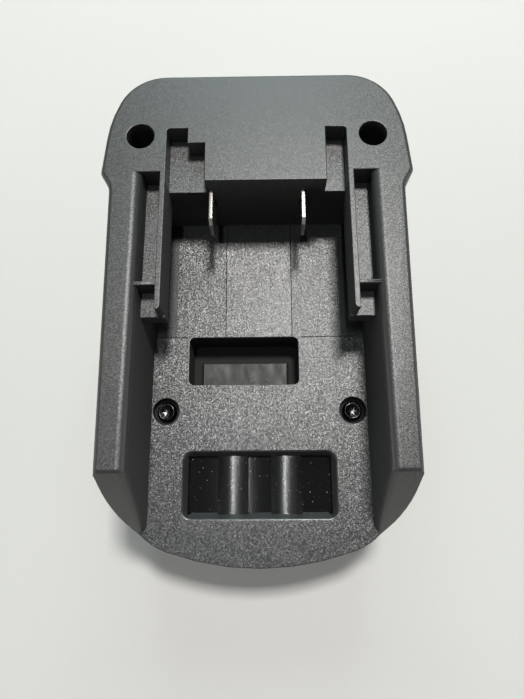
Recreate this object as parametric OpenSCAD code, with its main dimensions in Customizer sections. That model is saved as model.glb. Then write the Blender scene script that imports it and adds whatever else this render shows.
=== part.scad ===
// Slide-on battery adapter for cordless tools.
// The upper face is a battery slot with two blade terminals, as on the foot of a tool.
// The lower face is a slide-in head with two receptacles and a sprung latch, as on a battery.
// Frame: X to the right, Y towards the far end, where the terminals are, Z up out of the battery slot.
// The origin is under the middle of the body, on the plane that the head stands on.

/* [Body] */
// Length from the far rim to the near rim
body_length = 129.6; // [126:0.2:140]
// Width across the shoulders
shoulder_width = 81.4; // [79:0.2:84]
// Width across the flanks, where the sides start to turn in towards the far end
flank_width = 78.6; // [76:0.2:80]
// Width across the far edge, where the sides would meet it
far_width = 66.4; // [64:0.2:70]
// Width at the necks, just behind the shoulders
neck_width = 76.6; // [75.4:0.2:78]
// Width at the near ends of the side walls
end_width = 74.2; // [73:0.2:76]
// Height of the slide-in head, from the standing plane to the shoulder plane
head_height = 17; // [16.5:0.5:20]
// Height of the body band, from the shoulder plane to the slot floor
band_height = 12; // [11.5:0.5:15]
// Height of the side walls above the slot floor
wall_height = 24.7; // [24:0.1:28]
// Wall thickness of the mouldings
skin = 2.4; // [2:0.1:2.7]
// Height of the lower shell's edge above the shoulder plane
parting_height = 6; // [5:0.5:7]
// Gap between pieces that fit together
fit = 0.2; // [0.1:0.05:0.3]

/* [Outline] */
// Radius of the two far corners
far_corner_r = 13.5; // [10:0.5:14]
// Distance of the flank corners from the far rim
flank_at = 13.7; // [12:0.1:15]
// Radius of the flank corners
flank_r = 35; // [25:1:40]
// Distance of the shoulders from the far rim
shoulder_at = 29.6; // [27:0.1:31]
// Length of the step from a shoulder in to its neck
neck_step = 3.9; // [3:0.1:5]
// Radius of the round near end
near_arc_r = 75; // [70:1:80]
// Angle at which the near end runs into its corners
near_slope = 19; // [17:0.5:21]
// Radius of the two near corners
near_corner_r = 18.5; // [12:0.5:20]
// Radius of the rounded outer edge along the rim
rim_round = 1.2; // [0.6:0.1:1.6]
// Bevel along the lower outer edge of the body band
band_bevel = 1; // [0.5:0.1:1.5]

/* [Battery slot] */
// Width between the side walls
slot_width = 59.7; // [58.5:0.1:60.5]
// Distance of the back wall from the far rim
back_wall_at = 32.3; // [31:0.1:34]
// Width between the two rails
rail_gap = 47.4; // [45:0.2:48.4]
// Length of the rails in front of the back wall
rail_length = 34.8; // [30:0.2:35]
// Depth of the rail ledges below the rim
ledge_depth = 6.7; // [6:0.1:8]
// Thickness of the rail ledges
ledge_thickness = 4.6; // [3.5:0.1:5]
// Thickness of the upright rib along each rail
rib_thickness = 1.4; // [1:0.1:1.8]
// Distance of the gusset across each rail from the back wall
gusset_at = 27.3; // [20:0.1:29]
// Thickness of the gussets
gusset_thickness = 1; // [0.8:0.1:1.4]
// Depth of the gussets' top edges below the rim
gusset_drop = 0.6; // [0.3:0.1:1]
// How far the cored-out rails reach past the back wall
rail_core_reach = 2.8; // [1:0.1:3.2]
// Radius along the inner top edges of the side walls
wall_edge_r = 2.4; // [1:0.1:2.6]
// Distance from the near rim to the top of the sloped wall ends
slope_top = 24.2; // [22:0.1:26]
// Distance from the near rim to the foot of the sloped wall ends
slope_foot = 8.8; // [7:0.1:10]

/* [Far notches] */
// Depth of the two notches below the rim
notch_depth = 5.9; // [5:0.1:6.5]
// Distance of the notches from the far rim
notch_at = 16.7; // [15:0.1:18]
// Width of each notch
notch_width = 5.5; // [5:0.1:6.5]
// Radius of the outer far corner of each notch
notch_corner_r = 0.8; // [0.4:0.1:1.5]
// Width that the key step adds to the left notch
key_width = 4.6; // [3:0.1:5]
// Distance of the key step from the far rim
key_at = 21.2; // [19:0.1:23]

/* [Floor pockets] */
// Width of the pocket that the battery's catch drops into
catch_width = 30.9; // [28:0.1:32]
// Length of the catch pocket
catch_length = 13.7; // [12:0.1:15]
// Sideways offset of the catch pocket
catch_offset = -4.35; // [-5:0.05:0]
// Distance of the catch pocket from the rail ends
catch_at = 0.5; // [0.4:0.1:2]
// Depth of the catch pocket down to its pad
catch_depth = 9; // [7:0.25:10]
// Depth of the groove around the pad
catch_groove = 1.8; // [1:0.1:2]
// Width of the polished recess near the near end
recess_width = 41.3; // [38:0.1:44]
// Length of the polished recess
recess_length = 17.4; // [15:0.1:18]
// Distance of the polished recess from the near rim
recess_at = 12.4; // [11:0.1:13]
// Depth of the polished recess
recess_depth = 3.6; // [3:0.1:4]
// Inward slope of the recess walls
recess_draft = 1.4; // [0.8:0.1:2]
// Width of each round ridge in the recess
ridge_width = 8.4; // [7:0.1:9]
// Height of the ridges
ridge_height = 1.1; // [0.6:0.1:1.5]
// Distance between the two ridges
ridge_spacing = 14.6; // [12:0.1:17]

/* [Screws] */
// Thread diameter of the housing screws
screw_d = 3; // [2.5:0.1:3.5]
// Head diameter of the housing screws
screw_head_d = 5.6; // [5:0.1:6]
// Head height of the housing screws
screw_head_h = 2; // [1.6:0.1:2.4]
// Length of the housing screws under the head
screw_length = 8; // [7:0.5:8.5]
// Diameter of the counterbores around the screw heads
counterbore_d = 7.3; // [6.6:0.1:7.6]
// Distance between the two front screws
front_screw_spacing = 51.8; // [48:0.1:52]
// Distance of the front screws from the far rim
front_screw_at = 88.7; // [87:0.1:90]
// Distance between the two rear screws
rear_screw_spacing = 61.4; // [60:0.1:62]
// Distance of the rear screws from the far rim
rear_screw_at = 18.9; // [18:0.1:21]

/* [Blades] */
// Distance between the two blades
blade_spacing = 24.4; // [22:0.1:25]
// Thickness of the blades
blade_thickness = 1; // [0.8:0.1:1.2]
// Length of the blades in front of the back wall
blade_length = 10; // [8:0.5:11]
// Height of the blades
blade_height = 9; // [7:0.5:9.5]
// Depth of the blades below the rim
blade_depth = 4; // [3:0.25:4.5]
// Bevel at the blade tips
blade_bevel = 1.4; // [0.8:0.1:2]
// Height of the strip that runs from each blade through the holder
strip_height = 3.2; // [2.6:0.1:3.4]
// Length of the solder tab behind the holder
tab_length = 7; // [6:0.25:7.5]
// Thickness of the holder that carries the blades
holder_depth = 6; // [5.5:0.25:6.5]
// Thread diameter of the terminal screws
small_screw_d = 2.2; // [2:0.1:2.4]
// Head diameter of the terminal screws
small_head_d = 4; // [3.6:0.1:4.2]
// Length of the terminal screws under the head
small_screw_length = 8; // [7:0.5:8]

/* [Slide-in head] */
// Width of the head
head_width = 57; // [56:0.5:58]
// Width of the neck between the grooves
head_neck_width = 47; // [45:0.5:48]
// Height of the grooves along the head
groove_height = 5.5; // [5:0.25:6]
// Distance of the head from the far rim
head_at = 9.3; // [8:0.1:10]
// Length of the head
head_length = 84; // [83:0.5:85]
// Bevel at the leading corners of the head
head_bevel = 4; // [3:0.25:5]
// Distance between the two terminal slots
tool_slot_spacing = 27; // [25:0.5:29]
// Width of the terminal slots
tool_slot_width = 2.8; // [2:0.1:3.2]
// Length of the terminal slots
tool_slot_length = 17; // [15:0.5:18]
// Length of the contact fork in a receptacle
fork_length = 16; // [15:0.5:17]
// Width of the contact fork
fork_width = 6.4; // [6:0.1:6.8]
// Height of the contact fork
fork_height = 6.5; // [5.5:0.25:7]
// Thickness of the contact leaves
leaf_thickness = 0.7; // [0.5:0.05:0.8]
// Diameter of the leads over their insulation
lead_d = 3.2; // [2.8:0.1:3.5]

/* [Release latch] */
// Width of the latch
latch_width = 31; // [29:0.5:32]
// Travel of the latch
latch_travel = 5; // [4:0.25:5]
// Thickness of the latch tongue
tongue_thickness = 6; // [5:0.25:7]
// Height of the tongue tip above the standing plane
tongue_tip = 1.8; // [1.5:0.1:3]
// Thickness of the latch plate
latch_plate = 3.6; // [3:0.1:4]
// Height of the latch bay's lower edge above the standing plane
bay_edge = 6; // [5.5:0.25:6.5]
// Wall thickness of the latch bay
bay_wall = 3.4; // [3.2:0.1:4]
// Outer diameter of the latch springs
spring_d = 5.8; // [5:0.1:6.4]
// Wire diameter of the latch springs
spring_wire = 0.6; // [0.5:0.05:0.65]
// Turns of each latch spring
spring_turns = 4.5; // [4:0.5:5]

/* [Hidden] */
$fn = 48;

// Colours
housing_black = [0.13, 0.14, 0.14];
latch_black = [0.06, 0.06, 0.065];
nickel = [0.78, 0.76, 0.72];
copper = [0.72, 0.45, 0.25];
spring_steel = [0.6, 0.6, 0.62];
screw_black = [0.08, 0.08, 0.085];
holder_grey = [0.2, 0.2, 0.21];
lead_red = [0.65, 0.08, 0.07];
lead_black = [0.05, 0.05, 0.05];

// How far a cut runs past the face that it opens
past = 1;
// Wall thickness around the notches and the cored-out rails
lining = 1.6;
// Gap between a screw's plain shank and its pilot hole
thread_play = 0.05;
// Largest turn between two points of a rounded corner
corner_step = 7;

// Heights
shoulder_z = head_height;
parting_z = shoulder_z + parting_height;
floor_z = shoulder_z + band_height;
rim_z = floor_z + wall_height;
ceiling_z = floor_z - skin;

// Places along Y
far_y = body_length / 2;
near_y = -body_length / 2;
back_wall_y = far_y - back_wall_at;
rail_end_y = back_wall_y - rail_length;
head_far_y = far_y - head_at;
head_near_y = head_far_y - head_length;
catch_y = rail_end_y - catch_at - catch_length / 2;
recess_y = near_y + recess_at + recess_length / 2;
front_screw_y = far_y - front_screw_at;
rear_screw_y = far_y - rear_screw_at;

// Places along X
slot_half = slot_width / 2;
rail_half = rail_gap / 2;
rib_outer = rail_half + rib_thickness;

// Corner helpers: a corner is [x, y, radius], and outlines run counter-clockwise
function unit(v) = v / norm(v);
function flat(c) = [c[0], c[1]];
function turn(a, b, c) = (b[0] - a[0]) * (c[1] - b[1]) - (b[1] - a[1]) * (c[0] - b[0]);
function corner_arc(a, b, c) =
    let (u = unit(flat(a) - flat(b)), v = unit(flat(c) - flat(b)),
         half = acos(u * v) / 2,
         centre = flat(b) + unit(u + v) * b[2] / sin(half),
         start = flat(b) + u * b[2] / tan(half) - centre,
         sweep = (180 - 2 * half) * sign(turn(a, b, c)),
         steps = ceil(abs(sweep) / corner_step))
    [for (i = [0 : steps])
        let (t = sweep * i / steps)
        centre + [start[0] * cos(t) - start[1] * sin(t), start[0] * sin(t) + start[1] * cos(t)]];
function rounded(corners) =
    let (n = len(corners))
    [for (i = [0 : n - 1])
        each corners[i][2] > 0
            ? corner_arc(corners[(i + n - 1) % n], corners[i], corners[(i + 1) % n])
            : [flat(corners[i])]];
function inward(a, b) = let (d = unit(flat(b) - flat(a))) [-d[1], d[0]];
function inset(corners, d) =
    let (n = len(corners))
    [for (i = [0 : n - 1])
        let (a = corners[(i + n - 1) % n], b = corners[i], c = corners[(i + 1) % n],
             m = inward(a, b), k = inward(b, c),
             p = flat(b) + (m + k) * d / (1 + m * k),
             r = b[2] > 0 ? max(0.5, b[2] - d * sign(turn(a, b, c))) : 0)
        [p[0], p[1], r]];
function mirrored(corners) =
    [for (i = [len(corners) - 1 : -1 : 0]) [-corners[i][0], corners[i][1], corners[i][2]]];
function box_corners(w, l, r) =
    [[w / 2, -l / 2, r], [w / 2, l / 2, r], [-w / 2, l / 2, r], [-w / 2, -l / 2, r]];

// Plan outline of the body, from the near end round the right side to the far end
near_tip_y = near_y - near_arc_r * (1 / cos(near_slope) - 1);
// Straight run that stays between two roundings of one edge
edge_straight = 0.2;
// Length of the sloped edge that the near arc leaves over, and the corner radius that fits on it
near_edge_left = end_width / 2 / cos(near_slope) - near_arc_r * tan(near_slope);
near_round = min(near_corner_r, (near_edge_left - edge_straight) / tan(45 - near_slope / 2));
// Angles of a side before and after its flank corner, and the far radius that fits beside that corner's
flank_lean = atan((shoulder_width - flank_width) / 2 / (shoulder_at - flank_at));
far_lean = atan((flank_width - far_width) / 2 / flank_at);
far_edge_left = flank_at / cos(far_lean) - flank_r * tan((far_lean - flank_lean) / 2);
far_round = min(far_corner_r, (far_edge_left - edge_straight) / tan(45 - far_lean / 2));
right_side = [
    [end_width / 2, near_tip_y + end_width / 2 * tan(near_slope), near_round],
    [neck_width / 2, far_y - shoulder_at - neck_step, 6],
    [shoulder_width / 2, far_y - shoulder_at, 1.5],
    [flank_width / 2, far_y - flank_at, flank_r],
    [far_width / 2, far_y, far_round]];
outline = concat([[0, near_tip_y, near_arc_r]], right_side, mirrored(right_side));

// Prism of the plan outline, drawn in by d, between two heights
module plan(d, low, high) {
    translate([0, 0, low])
        linear_extrude(high - low)
            polygon(rounded(inset(outline, d)));
}

// Solid of the plan outline through a list of levels from low to high, each an inset and a height
module plan_through(levels) {
    rings = [for (level = levels) rounded(inset(outline, level[0]))];
    n = len(rings[0]);
    top = len(levels) - 1;
    sides = [for (i = [0 : top - 1]) for (k = [0 : n - 1])
        let (a = i * n + k, b = i * n + (k + 1) % n)
        each [[a, b + n, b], [a, a + n, b + n]]];
    fans = [for (k = [0 : n - 1])
        let (next = (k + 1) % n)
        each [[(top + 1) * n, k, next], [(top + 1) * n + 1, top * n + next, top * n + k]]];
    polyhedron(points = concat([for (i = [0 : top]) for (p = rings[i]) [p[0], p[1], levels[i][1]]],
                               [[0, 0, levels[0][1]], [0, 0, levels[top][1]]]),
               faces = concat(sides, fans), convexity = 10);
}

// Prism of a rounded rectangle between two heights
module rounded_box(w, l, r, low, high) {
    translate([0, 0, low])
        linear_extrude(high - low)
            polygon(rounded(box_corners(w, l, r)));
}

// Block between two opposite corners
module block(low, high) {
    translate(low)
        cube(high - low);
}

// The same shape on the right and mirrored on the left
module both_sides() {
    children();
    mirror([1, 0, 0])
        children();
}

// Prism of a side view, drawn as [y, z], across a width in X
module side_prism(points, left, right) {
    translate([left, 0, 0])
        rotate([90, 0, 90])
            linear_extrude(right - left)
                polygon(points);
}

// Prism of an end view, drawn as [x, z], along a length in Y
module end_prism(points, near, far) {
    translate([0, far, 0])
        rotate([90, 0, 0])
            linear_extrude(far - near)
                polygon(points);
}

// Waste of a rounded top edge that runs along Y, for an edge at x with the wall on its +X side
module edge_waste(x, z, r, near, far) {
    difference() {
        block([x - past, near, z - r], [x + r, far, z + past]);
        translate([x + r, near - past, z - r])
            rotate([-90, 0, 0])
                cylinder(h = far - near + 2 * past, r = r);
    }
}

// Screw posts: the upper shell's sleeves stand on the lower shell's posts
post_r = counterbore_d / 2 + 1.6;
screw_hole_r = screw_d / 2 + fit;
pilot_r = screw_d / 2 + thread_play;
// How far the front screws' heads lie below the slot floor
head_sink = 0.6;
// How far the rear posts stand above the parting plane
rear_post_rise = 6;
front_seat_z = floor_z - screw_head_h - head_sink;
front_post_z = front_seat_z - skin;
rear_post_z = parting_z + rear_post_rise;
rear_seat_z = rear_post_z + skin;
module at_screws(spacing, y) {
    for (side = [-1, 1])
        translate([side * spacing / 2, y, 0])
            children();
}

// Upper shell, outside: body band, side walls, far block and rails

// Slope of the side walls' near ends: its angle, its length and its wall thickness measured upright
slope_angle = atan(wall_height / (slope_top - slope_foot));
slope_length = norm([slope_top - slope_foot, wall_height]);
slope_slack = skin / sin(slope_angle);

// Everything above the sloped ends of the side walls, moved down by drop
module above_slopes(drop) {
    side_prism([[near_y + slope_top, rim_z - drop], [near_y + slope_top, rim_z + past],
                [near_y - slope_top, rim_z + past], [near_y - slope_top, floor_z - drop],
                [near_y + slope_foot, floor_z - drop]],
               -shoulder_width, shoulder_width);
}

module rails() {
    both_sides() {
        block([rail_half, rail_end_y, rim_z - ledge_depth - ledge_thickness],
              [slot_half + past, back_wall_y + past, rim_z - ledge_depth]);
        translate([0, 0, rim_z - ledge_depth - ledge_thickness])
            linear_extrude(ledge_depth + ledge_thickness)
                polygon(rounded([[rail_half, rail_end_y, rib_thickness * 0.8], [rib_outer, rail_end_y, 0],
                                 [rib_outer, back_wall_y + past, 0], [rail_half, back_wall_y + past, 0]]));
    }
}

// Thin webs across the cored-out rails, which run into the round inner edges of the side walls
module gussets() {
    both_sides()
        block([rib_outer - past / 2, back_wall_y - gusset_at - gusset_thickness, rim_z - ledge_depth - past],
              [slot_half + wall_edge_r / 2, back_wall_y - gusset_at, rim_z - gusset_drop]);
}

// Levels of the rounded rim, as steps of a quarter circle
rim_steps = 3;
rim_levels = [for (i = [0 : rim_steps])
    let (a = 90 * i / rim_steps)
    [rim_round * (1 - cos(a)), rim_z - rim_round * (1 - sin(a))]];

module upper_outside() {
    difference() {
        plan_through(concat([[0, parting_z]], rim_levels));
        block([-slot_half, near_y - past, floor_z], [slot_half, back_wall_y, rim_z + past]);
    }
    rails();
}

// Notches and cored-out rails in the far block
module notches() {
    both_sides()
        translate([0, 0, rim_z - notch_depth])
            linear_extrude(notch_depth + past)
                polygon(rounded([[rail_half - notch_width, back_wall_y - past, 0],
                                 [rail_half, back_wall_y - past, 0],
                                 [rail_half, far_y - notch_at, notch_corner_r],
                                 [rail_half - notch_width, far_y - notch_at, 0]]));
    block([-rail_half + notch_width - past, back_wall_y - past, rim_z - notch_depth],
          [-rail_half + notch_width + key_width, far_y - key_at, rim_z + past]);
}

module rail_cores() {
    both_sides()
        block([rib_outer, back_wall_y - past, rim_z - ledge_depth],
              [slot_half, back_wall_y + rail_core_reach, rim_z + past]);
}

// Waste over a round edge as [x, z], for an edge at x on the plane z = 0 with the wall on its +X side.
// Its first and last facets run on past both planes.
round_steps = 5;
function round_point(x, r, i) =
    let (a = 90 * i / round_steps)
    [x + r - r * sin(a), -r + r * cos(a)];
function round_waste(x, r) =
    let (
        run_on = past / (r - r * cos(90 / round_steps)),
        first = round_point(x, r, 0),
        last = round_point(x, r, round_steps),
        after_first = round_point(x, r, 1),
        before_last = round_point(x, r, round_steps - 1)
    )
    concat([last + (last - before_last) * run_on, [x - past, past], first + (first - after_first) * run_on],
           [for (i = [1 : round_steps - 1]) round_point(x, r, i)]);

// The inner top edges are round along the rim and, a little tighter, down the sloped ends,
// where the round stops just over the floor
slope_edge_r = wall_edge_r * 0.8;
edge_lift = 0.15;

module rounded_wall_edges() {
    both_sides() {
        edge_waste(slot_half, rim_z, wall_edge_r, near_y, back_wall_y + rail_core_reach);
        intersection() {
            translate([0, near_y + slope_top, rim_z])
                rotate([slope_angle, 0, 0])
                    end_prism(round_waste(slot_half, slope_edge_r),
                              -slope_length - 2 * wall_edge_r, 2 * wall_edge_r);
            block([0, near_y - past, floor_z + edge_lift], [shoulder_width, back_wall_y, rim_z + past]);
        }
    }
}

// Upper shell, inside: a hollow that keeps one wall thickness everywhere
module notch_linings() {
    both_sides()
        block([rail_half - notch_width - lining, back_wall_y, rim_z - ledge_depth - lining],
              [slot_half + lining, far_y - notch_at + lining, rim_z]);
    block([-rail_half, back_wall_y, rim_z - notch_depth - lining],
          [-rail_half + notch_width + key_width + lining, far_y - key_at + lining, rim_z]);
}

module upper_hollow() {
    plan(skin, parting_z - past, ceiling_z);
    plan(skin / 2, parting_z - past, parting_z + lip_height + fit);
    difference() {
        plan(skin, ceiling_z - past, rim_z - skin);
        block([-slot_half - skin, near_y - past, ceiling_z - 2 * past],
              [slot_half + skin, back_wall_y + skin, rim_z]);
        notch_linings();
        above_slopes(slope_slack);
    }
}

pad_margin = 2.3;
pad_setback = 5.5;
catch_tub_z = floor_z - catch_depth - catch_groove - skin / 2;
recess_tub_z = floor_z - recess_depth - skin * 0.75;

module catch_pocket() {
    pad_half = catch_width / 2 - pad_margin;
    pad_z = floor_z - catch_depth;
    bevel = 0.8;
    translate([catch_offset, catch_y, 0])
        difference() {
            rounded_box(catch_width, catch_length, 1.5, pad_z - catch_groove, floor_z + past);
            end_prism([[-pad_half, 0], [pad_half, 0], [pad_half, pad_z - bevel], [pad_half - bevel, pad_z],
                       [bevel - pad_half, pad_z], [-pad_half, pad_z - bevel]],
                      -catch_length, catch_length / 2 - pad_setback);
        }
}

module polished_recess() {
    ridge_r = ridge_width * ridge_width / (8 * ridge_height) + ridge_height / 2;
    difference() {
        translate([0, recess_y, 0])
            hull() {
                rounded_box(recess_width, recess_length, 2.5, floor_z, floor_z + past, $fn = 32);
                rounded_box(recess_width - 2 * recess_draft, recess_length - 2 * recess_draft, 1.5,
                            floor_z - recess_depth, floor_z - recess_depth + past / 10, $fn = 32);
            }
        for (side = [-1, 1])
            intersection() {
                translate([side * ridge_spacing / 2, recess_y + recess_length,
                           floor_z - recess_depth + ridge_height - ridge_r])
                    rotate([90, 0, 0])
                        cylinder(h = 2 * recess_length, r = ridge_r);
                block([-recess_width, recess_y - recess_length, floor_z - recess_depth - past],
                      [recess_width, recess_y + recess_length, floor_z]);
            }
    }
}

module upper_bosses() {
    both_sides() {
        translate([front_screw_spacing / 2, front_screw_y, front_post_z])
            cylinder(h = floor_z - front_post_z, r = post_r);
        translate([rear_screw_spacing / 2, rear_screw_y, rear_post_z])
            cylinder(h = rim_z - rear_post_z - skin / 2, r = post_r);
    }
    translate([catch_offset, catch_y, 0])
        rounded_box(catch_width + skin, catch_length + skin, 2.5, catch_tub_z, floor_z - skin / 2);
    translate([0, recess_y, 0])
        rounded_box(recess_width + skin, recess_length + skin, 3, recess_tub_z, floor_z - skin / 2);
    for (side = [-1, 1])
        translate([side * spring_spacing / 2, recess_y, recess_tub_z - spring_pin_h])
            cylinder(h = spring_pin_h + past, r = spring_pin_r);
    holder_bosses();
}

module upper_screw_holes() {
    at_screws(front_screw_spacing, front_screw_y) {
        translate([0, 0, front_seat_z])
            cylinder(h = rim_z, r = counterbore_d / 2);
        translate([0, 0, front_post_z - past])
            cylinder(h = rim_z, r = screw_hole_r);
    }
    at_screws(rear_screw_spacing, rear_screw_y) {
        translate([0, 0, rear_seat_z])
            cylinder(h = rim_z, r = counterbore_d / 2);
        translate([0, 0, rear_post_z - past])
            cylinder(h = rim_z, r = screw_hole_r);
    }
}

module battery_side_housing() {
    color(housing_black) {
        difference() {
            union() {
                difference() {
                    upper_outside();
                    upper_hollow();
                }
                upper_bosses();
            }
            above_slopes(0);
            notches();
            rail_cores();
            rounded_wall_edges();
            catch_pocket();
            polished_recess();
            upper_screw_holes();
            blade_slots();
        }
        gussets();
    }
}

// Lower shell: shallow tray, slide-in head and latch bay
lip_height = 1.6;
bay_half = latch_width / 2 + fit + 0.1;
bay_setback = 5.3;
bay_near_y = near_y + bay_setback;

module head_outside() {
    half = head_width / 2;
    neck = head_neck_width / 2;
    intersection() {
        end_prism([[-half + 1, 0], [half - 1, 0], [half, 1], [half, head_height - groove_height],
                   [neck, head_height - groove_height], [neck, shoulder_z + past],
                   [-neck, shoulder_z + past], [-neck, head_height - groove_height],
                   [-half, head_height - groove_height], [-half, 1]],
                  head_near_y, head_far_y);
        linear_extrude(shoulder_z + 2 * past)
            polygon([[-half, head_near_y], [half, head_near_y], [half, head_far_y - head_bevel],
                     [half - head_bevel, head_far_y], [-half + head_bevel, head_far_y],
                     [-half, head_far_y - head_bevel]]);
    }
}

module lower_outside() {
    plan_through([[band_bevel, shoulder_z], [band_bevel * 0.3, shoulder_z + band_bevel * 0.3],
                  [0, shoulder_z + band_bevel], [0, parting_z - fit / 2]]);
    plan(skin / 2 + fit / 2, parting_z - past, parting_z + lip_height);
    head_outside();
    block([-bay_half - bay_wall, bay_near_y, bay_edge],
          [bay_half + bay_wall, head_near_y + past, shoulder_z + past]);
}

module lower_hollow() {
    plan(skin, shoulder_z + skin, parting_z + lip_height + past);
    block([-head_neck_width / 2 + skin, head_near_y + skin, skin],
          [head_neck_width / 2 - skin, head_far_y - skin, shoulder_z + skin + past]);
    translate([catch_offset, catch_y, 0])
        rounded_box(catch_width + skin + 2 * fit, catch_length + skin + 2 * fit, 2.5,
                    catch_tub_z - fit, floor_z);
}

module latch_bay() {
    top = parting_z + lip_height + past;
    block([-bay_half, near_y - past, bay_edge - past], [bay_half, head_near_y, shoulder_z]);
    block([-bay_half, latch_near_y - 1.3, shoulder_z - past], [bay_half, head_near_y, top]);
    block([-bay_half - ear_reach - fit, ear_near_y - fit, ear_z - fit],
          [bay_half + ear_reach + fit, ear_far_y + fit, top]);
}

module terminal_slots() {
    for (side = [-1, 1])
        translate([side * tool_slot_spacing / 2, 0, 0])
            block([-tool_slot_width / 2, head_far_y - tool_slot_length, -past],
                  [tool_slot_width / 2, head_far_y + past, fork_z + fork_height + past]);
}

module lower_posts() {
    at_screws(front_screw_spacing, front_screw_y)
        translate([0, 0, shoulder_z + past])
            cylinder(h = front_post_z - fit / 2 - shoulder_z - past, r = post_r);
    at_screws(rear_screw_spacing, rear_screw_y)
        translate([0, 0, shoulder_z + past])
            cylinder(h = rear_post_z - fit / 2 - shoulder_z - past, r = post_r);
}

module lower_pilots() {
    at_screws(front_screw_spacing, front_screw_y)
        translate([0, 0, front_seat_z - screw_length - fit])
            cylinder(h = rim_z, r = pilot_r);
    at_screws(rear_screw_spacing, rear_screw_y)
        translate([0, 0, rear_seat_z - screw_length - fit])
            cylinder(h = rim_z, r = pilot_r);
}

module tool_side_housing() {
    color(housing_black)
        difference() {
            union() {
                difference() {
                    lower_outside();
                    lower_hollow();
                }
                lower_posts();
                block_posts();
            }
            latch_bay();
            terminal_slots();
            lower_pilots();
        }
}

// Release latch: tongue, sprung plate and thumb face in one moulding
spring_length = 8.6;
spring_spacing = ridge_spacing;
spring_pin_r = spring_d / 2 - spring_wire - fit * 1.5;
spring_pin_h = 1.4;
latch_top_z = recess_tub_z - spring_length;
latch_far_y = head_near_y - fit - 0.1;
latch_setback = 6.5;
latch_near_y = near_y + latch_setback;
ear_reach = 1.7;
ear_z = latch_top_z - 3;
ear_far_y = recess_y + 3;
ear_near_y = recess_y - 3;
thumb_thickness = 3;
thumb_lip = 2.8;
grip_ribs = 3;
grip_rib_r = 0.7;
grip_pitch = 2;

module release_latch() {
    half = latch_width / 2;
    tongue_y = latch_far_y - tongue_thickness;
    ramp = tongue_thickness * 0.6;
    color(latch_black) {
        side_prism([[tongue_y, latch_top_z], [tongue_y, tongue_tip], [latch_far_y - ramp, tongue_tip],
                    [latch_far_y, tongue_tip + ramp], [latch_far_y, latch_top_z]], -half, half);
        block([-half, latch_near_y, latch_top_z - latch_plate], [half, tongue_y + past, latch_top_z]);
        block([-half, latch_near_y, bay_edge - 1], [half, latch_near_y + thumb_thickness, latch_top_z]);
        block([-half, latch_near_y - thumb_lip, bay_edge - 1], [half, latch_near_y + past, bay_edge + 1]);
        for (i = [1 : grip_ribs])
            translate([0, latch_near_y, bay_edge + 1 + i * grip_pitch])
                rotate([0, 90, 0])
                    cylinder(h = latch_width - 4, r = grip_rib_r, center = true, $fn = 16);
        both_sides()
            block([half - 2, latch_near_y + past, bay_edge + 1], [half, tongue_y + past, latch_top_z]);
        block([-bay_half - ear_reach, ear_near_y, ear_z], [bay_half + ear_reach, ear_far_y, latch_top_z]);
        for (side = [-1, 1])
            translate([side * spring_spacing / 2, recess_y, latch_top_z - past])
                cylinder(h = spring_pin_h + past, r = spring_pin_r);
    }
}

// Latch springs: one open helix each, between the latch plate and the recess tub
spring_sides = 6;
rings_per_turn = 12;
spring_r = (spring_d - spring_wire) / 2;
spring_run = spring_length - spring_wire - fit;
spring_rings = round(spring_turns * rings_per_turn);
function spring_point(i) =
    let (a = 360 * i / rings_per_turn)
    [spring_r * cos(a), spring_r * sin(a), spring_run * i / spring_rings];
echo(least_gap_between_spring_turns = spring_run / spring_turns - spring_wire);

// Tube of round section along a list of points, as one closed surface
function along(points, i) =
    unit(points[min(i + 1, len(points) - 1)] - points[max(i - 1, 0)]);
module tube(points, r, sides, side_axis) {
    rings = len(points);
    skin_points = [for (i = [0 : rings - 1])
        let (t = along(points, i), n = unit(cross(t, side_axis)), b = cross(t, n))
        for (k = [0 : sides - 1])
            points[i] + r * (cos(360 * k / sides) * n + sin(360 * k / sides) * b)];
    caps = [[for (k = [0 : sides - 1]) sides - 1 - k], [for (k = [0 : sides - 1]) (rings - 1) * sides + k]];
    quads = [for (i = [0 : rings - 2]) for (k = [0 : sides - 1])
        let (a = i * sides + k, b = i * sides + (k + 1) % sides)
        each [[a, b, b + sides], [a, b + sides, a + sides]]];
    polyhedron(points = skin_points, faces = concat(caps, quads), convexity = 10);
}

module latch_spring(side) {
    color(spring_steel)
        translate([side * spring_spacing / 2, recess_y, latch_top_z + (spring_wire + fit) / 2])
            tube([for (i = [0 : spring_rings]) spring_point(i)], spring_wire / 2, spring_sides, [0, 0, 1]);
}

// Blades and their holder: the strip of each blade runs through the back wall and the holder
blade_x = blade_spacing / 2;
strip_low_z = rim_z - blade_depth - blade_height;
strip_mid_z = strip_low_z + strip_height / 2;
holder_near_y = back_wall_y + skin + fit / 2;
holder_far_y = holder_near_y + holder_depth;
holder_half = blade_x + 3.4;
holder_low_z = strip_low_z - 1.6;
holder_top_z = rim_z - notch_depth - lining - fit / 2;
holder_screw_x = blade_x * 0.45;
holder_screw_y = (holder_near_y + holder_far_y) / 2;
holder_seat_z = holder_low_z + 2.4;
tab_end_y = holder_far_y + tab_length;

module blade(side) {
    tip_y = back_wall_y - blade_length;
    high_z = strip_low_z + blade_height;
    color(nickel)
        side_prism([[tip_y, strip_low_z + blade_bevel], [tip_y + blade_bevel, strip_low_z],
                    [tab_end_y, strip_low_z], [tab_end_y, strip_low_z + strip_height],
                    [back_wall_y, strip_low_z + strip_height],
                    [back_wall_y, high_z], [tip_y + blade_bevel, high_z], [tip_y, high_z - blade_bevel]],
                   side * blade_x - blade_thickness / 2, side * blade_x + blade_thickness / 2);
}

module blade_slots() {
    play = fit / 2;
    for (side = [-1, 1])
        translate([side * blade_x, 0, 0])
            block([-blade_thickness / 2 - play, back_wall_y - past, strip_low_z - play],
                  [blade_thickness / 2 + play, holder_far_y + past, strip_low_z + strip_height + play]);
}

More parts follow.
